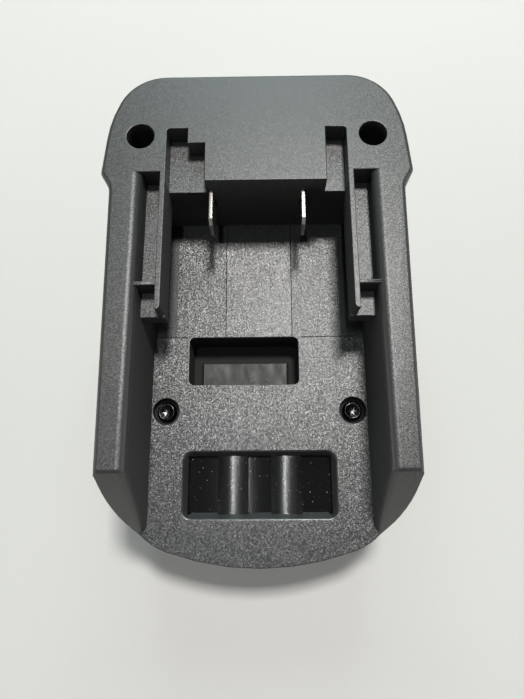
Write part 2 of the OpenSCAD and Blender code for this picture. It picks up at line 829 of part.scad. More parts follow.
module blade_holder() {
    color(holder_grey)
        difference() {
            block([-holder_half, holder_near_y, holder_low_z], [holder_half, holder_far_y, holder_top_z]);
            blade_slots();
            for (side = [-1, 1])
                translate([side * holder_screw_x, holder_screw_y, 0]) {
                    translate([0, 0, holder_low_z - past])
                        cylinder(h = holder_top_z, r = small_screw_d / 2 + fit);
                    translate([0, 0, holder_low_z - past])
                        cylinder(h = holder_seat_z - holder_low_z + past, r = small_head_d / 2 + fit);
                }
        }
}

module holder_bosses() {
    for (side = [-1, 1])
        translate([side * holder_screw_x, holder_screw_y, holder_top_z + fit / 2])
            difference() {
                cylinder(h = rim_z - skin / 2 - holder_top_z - fit / 2, r = small_screw_d / 2 + 1.7);
                translate([0, 0, -past])
                    cylinder(h = holder_seat_z + small_screw_length - holder_top_z + past,
                             r = small_screw_d / 2 + thread_play);
            }
}

// Receptacles: forks that stand on the head's floor over its slots, under a screwed-down block
slot_x = tool_slot_spacing / 2;
fork_z = skin;
fork_mouth_y = head_far_y - skin - fit;
fork_back_y = fork_mouth_y - fork_length;
fork_top_z = fork_z + fork_height;
fork_tab_half = fork_width / 2 - 1.2;
block_near_y = fork_back_y - 1.6;
block_far_y = head_far_y - skin - fit / 2;
block_top_z = fork_top_z + 2.5;
block_half = slot_x + fork_width / 2 + 1.8;
block_ear = 6;
block_post_x = slot_x * 0.4;
block_post_y = block_near_y - block_ear / 2;
block_post_z = block_top_z - 3;
lead_end_z = block_top_z + 3;

// Half of a fork seen from above, from its back to its mouth: [half width, distance from the back]
fork_pinch = 0.3;
fork_flare = 1.2;
pinch_outer = fork_pinch + leaf_thickness;
fork_inner = fork_width / 2 - leaf_thickness;
bend_at = fork_length * 0.3;
pinch_from = fork_length * 0.78;
pinch_to = fork_length * 0.84;
fork_side = [[fork_width / 2, 0], [fork_width / 2, bend_at],
             [pinch_outer, pinch_from], [pinch_outer, pinch_to],
             [fork_flare + leaf_thickness, fork_length], [fork_flare, fork_length],
             [fork_pinch, pinch_to], [fork_pinch, pinch_from],
             [fork_inner, bend_at], [fork_inner, leaf_thickness]];

module receptacle(side) {
    color(copper)
        translate([side * slot_x, fork_back_y, 0]) {
            translate([0, 0, fork_z])
                linear_extrude(fork_height)
                    polygon(concat(fork_side, [for (i = [len(fork_side) - 1 : -1 : 0])
                                                   [-fork_side[i][0], fork_side[i][1]]]));
            block([-fork_tab_half, 0, fork_z], [fork_tab_half, leaf_thickness, lead_end_z]);
        }
}

module receptacle_block() {
    play = fit;
    color(holder_grey)
        difference() {
            union() {
                block([-block_half, block_near_y, skin], [block_half, block_far_y, block_top_z]);
                block([-block_post_x - 4, block_near_y - block_ear, block_post_z],
                      [block_post_x + 4, block_near_y + past, block_top_z]);
            }
            for (side = [-1, 1]) {
                translate([side * slot_x, fork_back_y, 0]) {
                    block([-fork_width / 2 - play, -play, skin - past],
                          [fork_width / 2 + play, fork_length + past, fork_top_z + play]);
                    block([-fork_tab_half - play, -play, skin],
                          [fork_tab_half + play, leaf_thickness + play, block_top_z + past]);
                }
                translate([side * block_post_x, block_post_y, 0])
                    cylinder(h = block_top_z + past, r = small_screw_d / 2 + fit);
            }
        }
}

module block_posts() {
    for (side = [-1, 1])
        translate([side * block_post_x, block_post_y, 0])
            difference() {
                translate([0, 0, skin / 2])
                    cylinder(h = block_post_z - fit / 2 - skin / 2, r = small_screw_d / 2 + 1.7);
                translate([0, 0, block_top_z - small_screw_length - fit])
                    cylinder(h = block_top_z, r = small_screw_d / 2 + thread_play);
            }
}

// Leads: one smooth run each, from the blade's solder tab down behind it to the receptacle's tab
lead_back_y = far_y - skin - lead_d / 2 - 0.6;
lead_ends = [[blade_x, tab_end_y, strip_mid_z], [slot_x, fork_back_y + leaf_thickness / 2, lead_end_z]];
lead_stops = [
    lead_ends[0] + [0, 0.5, 0],
    lead_ends[0] + [0, 2.5, 0],
    lead_ends[0] + [0, 4.5, 0],
    [blade_x + 0.2, lead_back_y - 1.4, strip_mid_z - 4],
    [blade_x + 0.4, lead_back_y, (strip_mid_z + parting_z) / 2],
    [blade_x + 0.6, lead_back_y - 2, parting_z + 3.5],
    [slot_x - 0.3, head_far_y - 5, parting_z],
    [slot_x, fork_back_y + 4.5, parting_z - 3.5],
    lead_ends[1] + [0, 0, 3],
    lead_ends[1] + [0, 0, 0.5]];
lead_steps = 5;
function between(a, b, c, d, t) =
    (2 * b + (c - a) * t + (2 * a - 5 * b + 4 * c - d) * t * t + (3 * b - a - 3 * c + d) * t * t * t) / 2;
function smooth(stops) =
    let (n = len(stops) - 1)
    [for (i = [0 : n - 1]) for (k = [0 : i == n - 1 ? lead_steps : lead_steps - 1])
        between(stops[max(i - 1, 0)], stops[i], stops[i + 1], stops[min(i + 2, n)], k / lead_steps)];

module lead(side) {
    color(side < 0 ? lead_red : lead_black)
        mirror([side < 0 ? 1 : 0, 0, 0])
            tube(concat([lead_ends[0]], smooth(lead_stops), [lead_ends[1]]), lead_d / 2, 12, [1, 0, 0]);
}

// Shrink sleeves over the solder joints at the blades
sleeve_bore = lead_d + 0.3;
sleeve_wall = 0.6;
sleeve_length = 7.5;
sleeve_grip = 2.5;

module sleeve(side) {
    color(side < 0 ? lead_red : lead_black)
        translate([side * blade_x, tab_end_y + sleeve_grip - sleeve_length, strip_mid_z])
            rotate([-90, 0, 0])
                difference() {
                    cylinder(h = sleeve_length, d = sleeve_bore + 2 * sleeve_wall);
                    translate([0, 0, -past])
                        cylinder(h = sleeve_length + 2 * past, d = sleeve_bore);
                }
}

// Screws, with a six-sided drive in the head
drive_r = 1.35;

module screw(d, length, head_d, head_h) {
    translate([0, 0, -length])
        cylinder(h = length + head_h / 4, r = d / 2);
    difference() {
        cylinder(h = head_h, r = head_d / 2);
        translate([0, 0, head_h * 0.35])
            cylinder(h = head_h, r = drive_r * head_d / screw_head_d, $fn = 6);
    }
}

module front_screws() {
    color(screw_black)
        at_screws(front_screw_spacing, front_screw_y)
            translate([0, 0, front_seat_z])
                screw(screw_d, screw_length, screw_head_d, screw_head_h);
}

module rear_screws() {
    color(screw_black)
        at_screws(rear_screw_spacing, rear_screw_y)
            translate([0, 0, rear_seat_z])
                screw(screw_d, screw_length, screw_head_d, screw_head_h);
}

module terminal_screws() {
    head_h = small_head_d * 0.35;
    color(spring_steel)
        for (side = [-1, 1]) {
            translate([side * holder_screw_x, holder_screw_y, holder_seat_z])
                mirror([0, 0, 1])
                    screw(small_screw_d, small_screw_length, small_head_d, head_h);
            translate([side * block_post_x, block_post_y, block_top_z])
                screw(small_screw_d, small_screw_length, small_head_d, head_h);
        }
}

battery_side_housing();
tool_side_housing();
release_latch();
latch_spring(-1);  // left_latch_spring
latch_spring(1);  // right_latch_spring
blade_holder();
terminal_screws();
blade(-1);  // positive_blade
blade(1);  // negative_blade
sleeve(-1);  // positive_sleeve
sleeve(1);  // negative_sleeve
receptacle_block();
receptacle(-1);  // positive_receptacle
receptacle(1);  // negative_receptacle
lead(-1);  // positive_lead
lead(1);  // negative_lead
front_screws();
rear_screws();
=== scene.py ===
# %% [markdown]
# # A slide-on battery adapter
# The object lets a battery of one kind drive a tool of another. Its upper face is the battery
# slot, with rails, blades and a catch pocket, and its lower face is the tool's slide-in head with
# a sprung latch. The CAD model gives every piece its size and place in metres. This file adds what
# a camera sees on top of that: rounded mould edges, grain, polish, plated metal and black screws.

# %% Load the frame
import math
from types import SimpleNamespace

import bmesh
import bpy
from mathutils import Matrix, Vector
from mathutils.bvhtree import BVHTree


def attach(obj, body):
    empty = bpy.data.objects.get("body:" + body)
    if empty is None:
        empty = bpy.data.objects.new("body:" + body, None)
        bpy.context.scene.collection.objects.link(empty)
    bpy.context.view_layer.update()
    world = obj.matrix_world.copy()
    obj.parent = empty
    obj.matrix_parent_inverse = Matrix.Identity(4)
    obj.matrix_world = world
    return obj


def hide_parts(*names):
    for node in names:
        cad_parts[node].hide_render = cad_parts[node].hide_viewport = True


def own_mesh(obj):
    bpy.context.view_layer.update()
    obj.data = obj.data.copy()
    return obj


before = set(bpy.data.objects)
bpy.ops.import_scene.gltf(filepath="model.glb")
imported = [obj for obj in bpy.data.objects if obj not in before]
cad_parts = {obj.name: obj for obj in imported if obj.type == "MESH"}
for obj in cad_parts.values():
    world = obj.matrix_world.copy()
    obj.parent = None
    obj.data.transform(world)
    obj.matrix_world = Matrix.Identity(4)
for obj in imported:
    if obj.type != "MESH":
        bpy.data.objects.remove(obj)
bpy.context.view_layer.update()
MM = 0.001

# %% [markdown]
# ## Camera
# The photograph was taken by a phone held close above the adapter, tilted a little towards its far
# end. A camera can be placed by eye and nudged, but a pinhole fitted to the straight edges of the
# photograph gives its place and three turns at once. The lens follows from the focal length in
# pixels, because a 36 mm high sensor stands for the 699 rows of the picture.

# %% Camera
PICTURE_WIDTH, PICTURE_HEIGHT = 524, 699
FOCAL_PX = 518.86
CAMERA_AT = Vector((2.47, -42.5, 172.5)) * MM
TILT, YAW, ROLL = (math.radians(a) for a in (14.14, -2.60, -3.04))
SENSOR = 36.0
NEAREST = 0.005


def plain_turn(angle):
    """Turn about the third axis, as the fit wrote it."""
    c, s = math.cos(angle), math.sin(angle)
    return Matrix(((c, -s, 0), (s, c, 0), (0, 0, 1)))


down, along = math.cos(TILT), math.sin(TILT)
looking_down = Matrix(((1, 0, 0), (0, -down, -along), (0, along, -down)))
rows = plain_turn(ROLL) @ looking_down @ plain_turn(YAW)
axes = Matrix((rows[0], -rows[1], -rows[2])).transposed()
lens = bpy.data.cameras.new("phone")
lens.sensor_fit, lens.sensor_height = "VERTICAL", SENSOR
lens.lens = SENSOR * FOCAL_PX / PICTURE_HEIGHT
lens.clip_start = NEAREST
camera = bpy.data.objects.new("phone", lens)
camera.matrix_world = Matrix.Translation(CAMERA_AT) @ axes.to_4x4()
bpy.context.collection.objects.link(camera)
bpy.context.scene.camera = camera
bpy.context.scene.view_settings.view_transform = "Standard"
print("lens %.2f mm for %d x %d pixels" % (lens.lens, PICTURE_WIDTH, PICTURE_HEIGHT))

# %% [markdown]
# ## Light
# Black plastic shows almost nothing of its own colour: what the eye reads is the lamp's reflection
# in its grain. So the key light stands where the photograph's lamp stood, high over the far end and
# a little to the right, as a softbox small enough to leave a highlight. A cool panel beyond the far
# end gives the blue-green sheen there, and a dim narrow strip overhead draws the long lights on the
# polished ridges. Two low panels show the grain of the flanks, and an even world fills the shadows.
# Point lamps would be simpler, but only an area lamp can have the shape of a light seen in polish.

# %% Light
LAMP_DISTANCE = 0.9
AIM = Vector((0, 0, 0.035))
WHITE = (1.0, 1.0, 1.0)
LAMPS = (  # name, direction from the adapter, width, length, power, colour
    ("key_lamp", (0.10, 0.31, 0.945), 0.12, 0.12, 7.2, (1.0, 0.985, 0.95)),
    ("cool_panel", (0.0, 0.95, 0.58), 0.5, 0.5, 3.7, (0.76, 0.97, 0.98)),
    ("strip_lamp", (-0.066, -0.055, 0.998), 0.03, 0.16, 0.95, (0.95, 0.98, 1.0)),
    ("low_panel_left", (-1, -0.25, 0.16), 0.5, 0.9, 2.2, WHITE),
    ("low_panel_right", (1, -0.25, 0.16), 0.5, 0.9, 2.2, WHITE))
WORLD_TINT, WORLD_STRENGTH = (0.92, 0.96, 1.0, 1), 0.06


def softbox(name, away, width, length, power, colour):
    """Area lamp that faces the adapter from a direction, with its length along the adapter."""
    lamp = bpy.data.lights.new(name, "AREA")
    lamp.shape, lamp.size, lamp.size_y = "RECTANGLE", width, length
    lamp.energy, lamp.color = power, colour
    holder = bpy.data.objects.new(name, lamp)
    away = Vector(away).normalized()
    across = Vector((0, 1, 0)).cross(away).normalized()
    turn = Matrix((across, away.cross(across), away)).transposed()
    holder.matrix_world = Matrix.Translation(AIM + away * LAMP_DISTANCE) @ turn.to_4x4()
    bpy.context.collection.objects.link(holder)


for lamp_row in LAMPS:
    softbox(*lamp_row)
world = bpy.data.worlds.new("studio")
world.use_nodes = True
world.node_tree.nodes["Background"].inputs["Color"].default_value = WORLD_TINT
world.node_tree.nodes["Background"].inputs["Strength"].default_value = WORLD_STRENGTH
bpy.context.scene.world = world

# %% [markdown]
# ## Floor
# The floor is a round sheet of pale paper that sweeps up into a wall, as in a studio. A flat plane
# would do for the photograph's view, but a low camera would look past its edge into the dark. Spin
# turns one line of points about the upright axis, so floor, sweep and wall are one smooth sheet.

# %% Floor
FLOOR_R, SWEEP_R, WALL_TOP, SWEEP_STEPS, SHEET_SIDES = 1.1, 0.4, 1.2, 10, 96
MIDDLE_HOLE_R, MIDDLE_R = 0.02, 0.4
bends = [math.pi / 2 * k / SWEEP_STEPS for k in range(SWEEP_STEPS + 1)]
outline = [(MIDDLE_HOLE_R, 0.0), (MIDDLE_R, 0.0)]
outline += [(FLOOR_R + SWEEP_R * math.sin(a), SWEEP_R * (1 - math.cos(a))) for a in bends]
outline += [(FLOOR_R + SWEEP_R, WALL_TOP)]
sheet = bmesh.new()
line = [sheet.verts.new((r, 0, z)) for r, z in outline]
for a, b in zip(line, line[1:]):
    sheet.edges.new((a, b))
bmesh.ops.spin(sheet, geom=sheet.verts[:] + sheet.edges[:], cent=(0, 0, 0), axis=(0, 0, 1),
               angle=2 * math.pi, steps=SHEET_SIDES, use_merge=True)
hole = [e for e in sheet.edges if e.is_boundary and e.verts[0].co.z < MM]
bmesh.ops.holes_fill(sheet, edges=hole)
bmesh.ops.recalc_face_normals(sheet, faces=sheet.faces)
floor_mesh = bpy.data.meshes.new("pale_floor")
sheet.to_mesh(floor_mesh)
sheet.free()
floor_mesh.polygons.foreach_set("use_smooth", [True] * len(floor_mesh.polygons))
floor = bpy.data.objects.new("pale_floor", floor_mesh)
bpy.context.collection.objects.link(floor)
print("floor faces", len(floor_mesh.polygons))

# %% [markdown]
# ## Writing shaders as sums
# A shader is a net of nodes, and a long net is hard to read. The class below wraps one socket, so
# that `1 - mask * 0.5` adds the Math nodes by itself. Every other node, such as a noise or a colour
# mix, comes from its one method `add`, which sets the node's settings first and its sockets after.

# %% The socket class
CELL_MEAN = (0.5, 0.5, 0.5)
MIX_DARK, MIX_PALE, MIX_RESULT = 6, 7, 2


class Wire:
    """One output socket, with arithmetic that adds Math nodes."""

    def __init__(self, tree, socket):
        self.tree, self.socket = tree, socket

    def add(self, kind, settings=None, sockets=None, out=0):
        """A new node of a kind: its settings first, then its sockets as values or wires."""
        node = self.tree.nodes.new(kind)
        for name, value in (settings or {}).items():
            if name == "stops":
                while len(node.color_ramp.elements) < len(value):
                    node.color_ramp.elements.new(1.0)
                for element, (at, grey) in zip(node.color_ramp.elements, value):
                    element.position, element.color = at, (grey, grey, grey, 1)
            else:
                setattr(node, name, value)
        for name, value in (sockets or {}).items():
            if isinstance(value, Wire):
                self.tree.links.new(value.socket, node.inputs[name])
            else:
                node.inputs[name].default_value = value
        return Wire(self.tree, node.outputs[out])

    def other(self, name):
        """Another output of the same node."""
        return Wire(self.tree, self.socket.node.outputs[name])

    def math(self, operation, *values):
        return self.add("ShaderNodeMath", {"operation": operation}, dict(enumerate(values)))

    def __add__(self, v):
        return self.math("ADD", self, v)

    def __radd__(self, v):
        return self.math("ADD", v, self)

    def __sub__(self, v):
        return self.math("SUBTRACT", self, v)

    def __rsub__(self, v):
        return self.math("SUBTRACT", v, self)

    def __mul__(self, v):
        return self.math("MULTIPLY", self, v)

    def __rmul__(self, v):
        return self.math("MULTIPLY", v, self)

    def __gt__(self, v):
        return self.math("GREATER_THAN", self, v)

    def __lt__(self, v):
        return self.math("LESS_THAN", self, v)

    def __abs__(self):
        return self.math("ABSOLUTE", self)

    def between(self, low, high):
        """1 between two values and 0 outside them."""
        return (self > low) * (self < high)

    def vector(self, operation, sockets):
        return self.add("ShaderNodeVectorMath", {"operation": operation}, sockets)

    def stretched(self, factors):
        """This vector with each axis scaled by its own factor."""
        return self.vector("MULTIPLY", {0: self, 1: factors})

    def noise(self, scale, detail=2.0, rough=0.5):
        """Soft noise from 0 to 1 over this vector."""
        return self.add("ShaderNodeTexNoise", {"noise_dimensions": "3D"},
                        {"Vector": self, "Scale": scale, "Detail": detail, "Roughness": rough})

    def cells(self, scale):
        """Distance to the middle of the nearest of many small cells over this vector."""
        return self.add("ShaderNodeTexVoronoi", {"feature": "F1"}, {"Vector": self, "Scale": scale})

    def ramp(self, *stops):
        """This value through a grey ramp of (place, grey) stops."""
        return self.add("ShaderNodeValToRGB", {"stops": stops}, {"Fac": self})

    def tint(self, dark, pale):
        """A colour between two others, of which the first may be a wire, chosen by this value."""
        dark = dark if isinstance(dark, Wire) else dark + (1,)
        return self.add("ShaderNodeMix", {"data_type": "RGBA"},
                        {0: self, MIX_DARK: dark, MIX_PALE: pale + (1,)}, out=MIX_RESULT)

    def facets(self, scale, tilt):
        """A normal that leans by chance in each of many small cells over this vector."""
        face = self.add("ShaderNodeNewGeometry").other("Normal")
        lean = self.vector("SUBTRACT", {0: self.cells(scale).other("Color"), 1: CELL_MEAN})
        lean = self.vector("SCALE", {0: lean, "Scale": tilt})
        return self.vector("NORMALIZE", {0: self.vector("ADD", {0: face, 1: lean})})

    def bump(self, depth):
        """A bent normal from this height, with its depth in metres."""
        return self.add("ShaderNodeBump", None, {"Height": self, "Distance": depth})


print("socket class ready")

# %% [markdown]
# ## A finish
# Each finish starts from the one shader that Blender calls Principled. Its patterns are laid out in
# millimetres of the object itself, so that a grain of a quarter millimetre is written as one, and
# no unwrapping is needed.

# %% The finish class
MM_PER_METRE = 1000.0


class Finish:
    """A material with its shader and its place in millimetres."""

    def __init__(self, name, **fixed):
        self.material = bpy.data.materials.new(name)
        self.material.use_nodes = True
        tree = self.material.node_tree
        self.shader = tree.nodes["Principled BSDF"]
        place = Wire(tree, tree.nodes.new("ShaderNodeTexCoord").outputs["Object"])
        self.mm = place.stretched((MM_PER_METRE, MM_PER_METRE, MM_PER_METRE))
        split = self.mm.add("ShaderNodeSeparateXYZ", None, {0: self.mm})
        self.x, self.y, self.z = split, split.other("Y"), split.other("Z")
        self.set(**fixed)

    def set(self, **inputs):
        """Sets shader sockets by name, with _ for a space: plain values or wires."""
        for name, value in inputs.items():
            socket = self.shader.inputs[name.replace("_", " ")]
            if isinstance(value, Wire):
                value.tree.links.new(value.socket, socket)
            else:
                socket.default_value = value
        return self


print("finish class ready")

# %% [markdown]
# ## Pale floor finish
# A seamless paper floor isn't one flat colour either: faint cloudiness keeps it from looking like a
# cut-out, and a trace of tooth breaks up its sheen.

# %% Pale floor finish
paper = Finish("pale_paper", Roughness=0.9)
paper.set(Base_Color=paper.mm.noise(scale=0.004, detail=3).tint(dark=(0.60, 0.59, 0.57),
                                                                pale=(0.66, 0.65, 0.63)),
          Normal=paper.mm.noise(scale=1.2).bump(depth=0.00004))
floor_mesh.materials.append(paper.material)
print("floor finish", paper.material.name)

# %% [markdown]
# ## Zones of the battery-side shell
# The shell is one moulding, but its mould wasn't finished the same all over, and one zone, the
# catch pocket and the screw bores, is where shade is painted. Faces could get materials of their
# own, and then every bevel between them would have to be sorted too. Here one material tells the
# zones apart by place: comparing a coordinate with a limit gives 1 inside and 0 outside, and a
# product of such masks cuts out a box. Walls and ledges share their heights, so they are told apart
# by the way that the face looks. All lengths are in mm, as the CAD model has them.

# %% Zones of the battery-side shell
SLOT_HALF, RAIL_HALF = 29.85, 23.7
FLOOR_Z, RIM_Z, BACK_WALL_Y = 29.0, 53.7, 32.5
INSERT_HALF, INSERT_NEAR_Y = 9.5, -2.7
RECESS_HALF, RECESS_NEAR_Y, RECESS_FAR_Y = 19.6, -51.4, -36.0
RECESS_Z, RECESS_TOP_Z = 25.4, 27.6
RIDGE_X, RIDGE_HALF = 7.3, 4.2
POCKET_X, POCKET_HALF, POCKET_NEAR_Y, POCKET_TOP_Z = -4.35, 15.5, -16.6, 28.0
PAD_HALF, PAD_LOW_Z, PAD_HIGH_Z = 13.1, 19.6, 20.1
SCREW_X, SCREW_Y, BORE_R_SQUARED, BORE_START = 25.9, -23.9, 15.0, 0.06
FLOOR_BELOW, FLOOR_ABOVE, LIP_DEPTH = 0.04, 0.1, 0.5
WALL_START, WALL_BESIDE, WALL_BEHIND, RIM_ROUND = 0.3, 1.0, 0.2, 1.0
UPRIGHT, LEVEL = 0.3, 0.9


def shell_zones(skin):
    """Masks of the shell's zones over a finish's own coordinates."""
    aside = abs(skin.x)
    facing = skin.mm.add("ShaderNodeNewGeometry").other("Normal")
    upward = skin.mm.add("ShaderNodeSeparateXYZ", None, {0: facing}).other("Z")
    far_half = skin.y.between(INSERT_NEAR_Y, BACK_WALL_Y)
    at = SimpleNamespace()
    at.slab = skin.z.between(FLOOR_Z - FLOOR_BELOW, FLOOR_Z + FLOOR_ABOVE)
    at.lip = skin.z.between(FLOOR_Z - LIP_DEPTH, FLOOR_Z - FLOOR_BELOW)
    at.insert = at.slab * (aside < INSERT_HALF) * far_half
    at.under_rail = at.slab * (aside > RAIL_HALF) * far_half
    at.wall = (abs(upward) < UPRIGHT) * skin.z.between(FLOOR_Z + WALL_START, RIM_Z) \
        * (aside < SLOT_HALF + WALL_BESIDE) * (skin.y < BACK_WALL_Y + WALL_BEHIND)
    at.ledge = (upward > LEVEL) * skin.z.between(FLOOR_Z + WALL_START, RIM_Z - RIM_ROUND)
    at.recess = (aside < RECESS_HALF) * skin.y.between(RECESS_NEAR_Y, RECESS_FAR_Y) \
        * (skin.z < RECESS_TOP_Z)
    at.crest = at.recess * (abs(aside - RIDGE_X) < RIDGE_HALF)
    from_pocket = abs(skin.x - POCKET_X)
    pocket_rows = skin.y.between(POCKET_NEAR_Y, INSERT_NEAR_Y)
    at.pad = pocket_rows * (from_pocket < PAD_HALF) * skin.z.between(PAD_LOW_Z, PAD_HIGH_Z)
    # The catch pocket's groove and walls and the screw bores make the deep zone, where shade is
    # painted.
    pocket = pocket_rows * (from_pocket < POCKET_HALF) * (skin.z < POCKET_TOP_Z) * (1 - at.pad)
    side, along = aside - SCREW_X, skin.y - SCREW_Y
    bore = (side * side + along * along < BORE_R_SQUARED) * (skin.z < FLOOR_Z - BORE_START)
    at.deep = pocket + bore
    at.polish = at.recess + at.pad
    return at


print("slot floor at %.1f mm, rim at %.1f mm" % (FLOOR_Z, RIM_Z))

# %% [markdown]
# ## Black glass-filled nylon
# The mould of the housing was spark-eroded, so its faces carry a fine pebble grain: faint on the
# rim, a little stronger on the ledges of the rails and notches, strong and glittering on the slot
# floor, a little smoother on the insert between the two witness lines, dull on the slot's walls,
# and polished away in the recess and on the pocket's pad. A bump of soft noise only greys the
# highlight. Here each grain is a small cell with a lean of its own, so that some grains catch the
# lamp and others miss it, which gives the salt and pepper of the real floor. The lean and the
# roughness change from zone to zone. The polish is a deeper black of its own, and the groove and
# walls of the catch pocket and the screw bores are painted near black as shade. Dust and hairs
# lie on the polish.

# %% Housing finish
GRAINS_PER_MM = 5.6
LEAN = SimpleNamespace(rim=0.17, slab=0.14, ledge=0.05, insert=0.05, lip=0.13,
                       polish=0.003, crest=0.17)
ROUGH = SimpleNamespace(rim=0.40, cloud=0.05, slab=0.07, lip=0.14, under_rail=0.2, wall=0.4,
                        deep=0.45, polish=0.04, crest=0.18, pad=0.38, smear=0.44, dust=0.4)
NYLON_DARK, NYLON_PALE = (0.021, 0.0222, 0.0220), (0.032, 0.0332, 0.0326)
POLISH_AND_SHADE_BLACK, DUST_GREY = (0.006, 0.006, 0.006), (0.42, 0.42, 0.40)
CLOUD_SHARE, FINE_SHARE = 0.6, 0.4
SPECKS_PER_MM, SPECK_R, SPECK_BARE = 0.9, 0.085, 0.62
HAIR_STRETCH, HAIR_STOPS, HAIR_SHARE = (0.5, 3.0, 1.0), ((0.72, 0.0), (0.73, 1.0)), 0.1
SMEAR_STRETCH = (0.35, 0.16, 1.0)


def dust_on(skin, polish):
    """A mask of the specks and hairs that lie on the polish."""
    cell = skin.mm.cells(SPECKS_PER_MM)
    speck = (cell < SPECK_R) * (cell.other("Color") > SPECK_BARE)
    hair = skin.mm.stretched(HAIR_STRETCH).noise(scale=1.3, detail=1.0).ramp(*HAIR_STOPS)
    return polish * (speck + hair * HAIR_SHARE)


def nylon(name, zoned):
    """Grained black nylon, with the zones of the battery-side shell where zoned is true."""
    skin = Finish(name, Specular_IOR_Level=0.75, Coat_Roughness=0.25, Coat_IOR=1.6)
    fine = skin.mm.noise(scale=2.7, rough=0.6)
    cloud = skin.mm.noise(scale=0.11, detail=3, rough=0.55)
    colour = (cloud * CLOUD_SHARE + fine * FINE_SHARE).tint(NYLON_DARK, NYLON_PALE)
    rough = ROUGH.rim + cloud * ROUGH.cloud
    lean = LEAN.rim
    if zoned:
        at = shell_zones(skin)
        grained = 1 - at.polish
        dust = dust_on(skin, at.polish)
        smear = skin.mm.stretched(SMEAR_STRETCH).noise(scale=1.0)
        lean = (lean + at.slab * LEAN.slab + at.ledge * LEAN.ledge - at.insert * LEAN.insert
                - at.lip * LEAN.lip) * grained + at.recess * LEAN.polish + at.crest * LEAN.crest
        rough = (rough - at.slab * ROUGH.slab - at.lip * ROUGH.lip + at.wall * ROUGH.wall
                 + at.under_rail * ROUGH.under_rail + at.deep * ROUGH.deep) * grained \
            + at.recess * ROUGH.polish + at.crest * ROUGH.crest \
            + at.pad * (ROUGH.pad + smear * ROUGH.smear) + dust * ROUGH.dust
        # The polish gets a deeper black of its own; the deep pocket and bores are painted near
        # black as shade.
        colour = (at.polish + at.deep).tint(colour, POLISH_AND_SHADE_BLACK)
        colour = dust.tint(colour, DUST_GREY)
        skin.set(Coat_Weight=at.crest)
    return skin.set(Base_Color=colour, Roughness=rough, Normal=skin.mm.facets(GRAINS_PER_MM, lean))


shell_skin = nylon("grained_nylon_slot", zoned=True)
head_skin = nylon("grained_nylon_head", zoned=False)
print("housing finishes", shell_skin.material.name, head_skin.material.name)

# %% [markdown]
# ## Smooth plastics
# The latch is the same nylon from a smoother mould, the holders are a dark grey plastic, and the
# leads have soft insulation. A fine bump is enough for them, because none of them glitters.

# %% Smooth plastics
SATIN_DEPTH, SATIN_SPREAD = 0.00002, 0.08
FINE_GRAIN, SOFT_GRAIN = 3.4, 1.1


def satin(name, dark, pale, rough, grain=FINE_GRAIN):
    """Moulded plastic with a satin face, of a number of grains to a millimetre."""
    skin = Finish(name)
    cloud = skin.mm.noise(scale=0.15, detail=3)
    return skin.set(Base_Color=cloud.tint(dark, pale), Roughness=rough + cloud * SATIN_SPREAD,
                    Normal=skin.mm.noise(scale=grain, rough=0.6).bump(SATIN_DEPTH))


latch_skin = satin("satin_latch", (0.009, 0.009, 0.0098), (0.015, 0.015, 0.016), rough=0.36)
holder_skin = satin("grey_holder", (0.028, 0.028, 0.030), (0.044, 0.044, 0.047), rough=0.5)
red_skin = satin("red_insulation", (0.36, 0.018, 0.014), (0.47, 0.03, 0.022),
                 rough=0.38, grain=SOFT_GRAIN)
black_skin = satin("black_insulation", (0.010, 0.010, 0.010), (0.019, 0.019, 0.019),
                   rough=0.38, grain=SOFT_GRAIN)
# The witness lines' near-black colour is painted shade along the hairline seam.
line_shade_skin = satin("witness_line_painted_shade", (0.006, 0.006, 0.006), (0.010, 0.010, 0.010), rough=0.75)
print("finishes so far", len(bpy.data.materials))

# %% [markdown]
# ## Metals
# The blades are brass under bright nickel, with drawn lines along them from the rolling mill. The
# forks are bare copper alloy with some tarnish, the springs drawn wire, the small screws zinc, and
# the housing screws oiled black steel. All of them are one recipe: a noise that is drawn out along
# the metal gives the lines, and a cloud gives the tarnish.

# %% Metals
METAL_DEPTH, METAL_SPREAD, TARNISH = 0.000006, 0.12, 0.5


def drawn_metal(name, dark, pale, rough, lines):
    """Metal with lines along it, where lines scales each axis of the noise."""
    skin = Finish(name, Metallic=1.0)
    streak = skin.mm.stretched(lines).noise(scale=1.0, detail=3, rough=0.6)
    cloud = skin.mm.noise(scale=0.5, detail=3)
    return skin.set(Base_Color=(cloud * TARNISH + streak * (1 - TARNISH)).tint(dark, pale),
                    Roughness=rough + streak * METAL_SPREAD, Normal=streak.bump(METAL_DEPTH))


nickel = drawn_metal("bright_nickel", (0.60, 0.575, 0.53), (0.80, 0.775, 0.73),
                     rough=0.16, lines=(9.0, 0.5, 9.0))
copper = drawn_metal("copper_alloy", (0.42, 0.20, 0.10), (0.66, 0.38, 0.22),
                     rough=0.24, lines=(3.0, 0.6, 3.0))
wire_steel = drawn_metal("drawn_wire", (0.34, 0.34, 0.355), (0.56, 0.56, 0.58),
                         rough=0.22, lines=(2.0, 2.0, 9.0))
zinc = drawn_metal("zinc_plate", (0.42, 0.42, 0.43), (0.62, 0.62, 0.64),
                   rough=0.28, lines=(2.0, 2.0, 2.0))
black_steel = drawn_metal("oiled_black_steel", (0.045, 0.045, 0.046), (0.10, 0.10, 0.102),
                          rough=0.18, lines=(1.4, 1.4, 1.4))
print("finishes", len(bpy.data.materials))

# %% [markdown]
# ## Clean copies of the CAD solids
# A CAD solid has knife-sharp edges, but a moulding has none. A bevel needs whole faces, so the copy
# is cleaned first: flat triangles are joined, and only true edges are left. Then the edges that an
# eye can reach are picked. An edge counts as in reach when a straight line from it leaves the part
# on the open side, so the hidden insides stay as light as they are.

